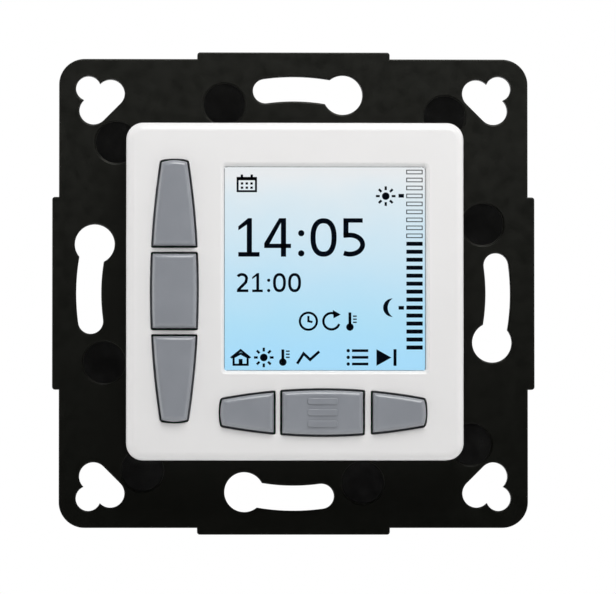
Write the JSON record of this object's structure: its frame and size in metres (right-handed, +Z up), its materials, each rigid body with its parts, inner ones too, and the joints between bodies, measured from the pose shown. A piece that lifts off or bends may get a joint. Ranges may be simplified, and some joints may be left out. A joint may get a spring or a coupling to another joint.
{
  "type": "programmable timer",
  "caption": "Flush-mounted heating timer: black mounting plate with keyhole slots and a rear box, and a white pull-off front unit with a display and grey keys.",
  "frame": {"origin": "centre of the mounting plate's rear face, on the wall's surface", "axes": "+Z up, +X right as seen from the front, +Y into the wall, so the front faces -Y"},
  "size_m": [0.0714, 0.0392, 0.0714],
  "materials": {
    "plate_plastic": "moulded, faint scuffs",
    "housing_plastic": "moulded, fine spark texture",
    "zinc_steel": "zinc plated",
    "board_green": "solder mask",
    "black_plastic": "moulded",
    "block_plastic": "moulded",
    "contact_brass": "rolled strip",
    "bobbin_plastic": "moulded",
    "winding_copper": "enamelled wire",
    "relay_iron": "stamped",
    "relay_cover_plastic": "moulded",
    "film_yellow": "moulded case",
    "sleeve_blue": "shrink sleeve",
    "varistor_blue": "dipped coating",
    "fuse_glass": "glass tube with metal caps",
    "resistor_green": "lacquered",
    "cover_white": "fine satin",
    "clear_window": "polished",
    "display_blue": "lit liquid crystal cell",
    "frame_white": "moulded",
    "guide_clear": "polished acrylic",
    "led_yellow": "moulded lens",
    "zebra_rubber": "layered silicone",
    "plunger_red": "moulded",
    "key_grey": "fine satin"
  },
  "bodies": {
    "base_unit": {"mounting_plate": "plate_plastic", "rear_housing": "housing_plastic", "housing_screws": "zinc_steel", "power_pcb": "board_green", "socket_header": "black_plastic", "terminal_block": "block_plastic", "terminal_busbars": "contact_brass", "relay_base": "black_plastic", "relay_bobbin": "bobbin_plastic", "relay_winding": "winding_copper", "relay_yoke": "relay_iron", "relay_contacts": "contact_brass", "relay_cover": "relay_cover_plastic", "film_capacitor": "film_yellow", "smoothing_capacitor": "sleeve_blue", "varistor": "varistor_blue", "fuse": "fuse_glass", "bridge_rectifier": "black_plastic", "fusible_resistor": "resistor_green"},
    "front_unit": {"front_cover": "cover_white", "display_window": "clear_window", "lcd_cell": "display_blue", "lcd_frame": "frame_white", "light_guide": "guide_clear", "backlight_leds": "led_yellow", "zebra_strip": "zebra_rubber", "front_pcb": "board_green", "microcontroller": "black_plastic", "clock_crystal": "zinc_steel", "backup_cell": "zinc_steel", "cell_clip": "zinc_steel", "switch_bodies": "black_plastic", "pin_header": "black_plastic", "back_shell": "housing_plastic"},
    "key_side_top": {"key_side_top": "key_grey", "switch_plunger_1": "plunger_red"},
    "key_side_middle": {"key_side_middle": "key_grey", "switch_plunger_2": "plunger_red"},
    "key_side_bottom": {"key_side_bottom": "key_grey", "switch_plunger_3": "plunger_red"},
    "key_row_left": {"key_row_left": "key_grey", "switch_plunger_4": "plunger_red"},
    "key_row_middle": {"key_row_middle": "key_grey", "switch_plunger_5": "plunger_red"},
    "key_row_right": {"key_row_right": "key_grey", "switch_plunger_6": "plunger_red"},
    "relay_armature": {"relay_armature": "relay_iron", "relay_moving_spring": "contact_brass"},
    "terminal_screw_1": {"terminal_screw_1": "zinc_steel"},
    "clamp_cage_1": {"clamp_cage_1": "zinc_steel"},
    "terminal_screw_2": {"terminal_screw_2": "zinc_steel"},
    "clamp_cage_2": {"clamp_cage_2": "zinc_steel"},
    "terminal_screw_3": {"terminal_screw_3": "zinc_steel"},
    "clamp_cage_3": {"clamp_cage_3": "zinc_steel"},
    "terminal_screw_4": {"terminal_screw_4": "zinc_steel"},
    "clamp_cage_4": {"clamp_cage_4": "zinc_steel"}
  },
  "joints": [
    {"name": "front_unit_pull", "type": "slide", "parent": "base_unit", "child": "front_unit", "axis": [0, -1, 0], "range_m": [0, 0.008]},
    {"name": "key_side_top_press", "type": "slide", "parent": "front_unit", "child": "key_side_top", "axis": [0, 1, 0], "range_m": [0, 0.0004], "stiffness_N_per_m": 800, "springref_m": -0.0002},
    {"name": "key_side_middle_press", "type": "slide", "parent": "front_unit", "child": "key_side_middle", "axis": [0, 1, 0], "range_m": [0, 0.0004], "stiffness_N_per_m": 800, "springref_m": -0.0002},
    {"name": "key_side_bottom_press", "type": "slide", "parent": "front_unit", "child": "key_side_bottom", "axis": [0, 1, 0], "range_m": [0, 0.0004], "stiffness_N_per_m": 800, "springref_m": -0.0002},
    {"name": "key_row_left_press", "type": "slide", "parent": "front_unit", "child": "key_row_left", "axis": [0, 1, 0], "range_m": [0, 0.0004], "stiffness_N_per_m": 800, "springref_m": -0.0002},
    {"name": "key_row_middle_press", "type": "slide", "parent": "front_unit", "child": "key_row_middle", "axis": [0, 1, 0], "range_m": [0, 0.0004], "stiffness_N_per_m": 800, "springref_m": -0.0002},
    {"name": "key_row_right_press", "type": "slide", "parent": "front_unit", "child": "key_row_right", "axis": [0, 1, 0], "range_m": [0, 0.0004], "stiffness_N_per_m": 800, "springref_m": -0.0002},
    {"name": "relay_armature_tilt", "type": "hinge", "parent": "base_unit", "child": "relay_armature", "pos_m": [0.0059, 0.02005, 0.0156], "axis": [0, 0, 1], "range_deg": [0, 2.2], "stiffness_Nm_per_rad": 0.01, "springref_deg": -2.86},
    {"name": "terminal_screw_1_turn", "type": "hinge", "parent": "base_unit", "child": "terminal_screw_1", "pos_m": [-0.0096, 0.0221, -0.0196], "axis": [0, -1, 0], "range_deg": [0, 1440]},
    {"name": "clamp_cage_1_rise", "type": "slide", "parent": "base_unit", "child": "clamp_cage_1", "axis": [0, 1, 0], "range_m": [0, 0.0018]},
    {"name": "terminal_screw_2_turn", "type": "hinge", "parent": "base_unit", "child": "terminal_screw_2", "pos_m": [-0.0032, 0.0221, -0.0196], "axis": [0, -1, 0], "range_deg": [0, 1440]},
    {"name": "clamp_cage_2_rise", "type": "slide", "parent": "base_unit", "child": "clamp_cage_2", "axis": [0, 1, 0], "range_m": [0, 0.0018]},
    {"name": "terminal_screw_3_turn", "type": "hinge", "parent": "base_unit", "child": "terminal_screw_3", "pos_m": [0.0032, 0.0221, -0.0196], "axis": [0, -1, 0], "range_deg": [0, 1440]},
    {"name": "clamp_cage_3_rise", "type": "slide", "parent": "base_unit", "child": "clamp_cage_3", "axis": [0, 1, 0], "range_m": [0, 0.0018]},
    {"name": "terminal_screw_4_turn", "type": "hinge", "parent": "base_unit", "child": "terminal_screw_4", "pos_m": [0.0096, 0.0221, -0.0196], "axis": [0, -1, 0], "range_deg": [0, 1440]},
    {"name": "clamp_cage_4_rise", "type": "slide", "parent": "base_unit", "child": "clamp_cage_4", "axis": [0, 1, 0], "range_m": [0, 0.0018]}
  ],
  "couplings": [
    {"joint": "terminal_screw_1_turn", "follows": "clamp_cage_1_rise", "rad_per_m": 13962},
    {"joint": "terminal_screw_2_turn", "follows": "clamp_cage_2_rise", "rad_per_m": 13962},
    {"joint": "terminal_screw_3_turn", "follows": "clamp_cage_3_rise", "rad_per_m": 13962},
    {"joint": "terminal_screw_4_turn", "follows": "clamp_cage_4_rise", "rad_per_m": 13962}
  ]
}
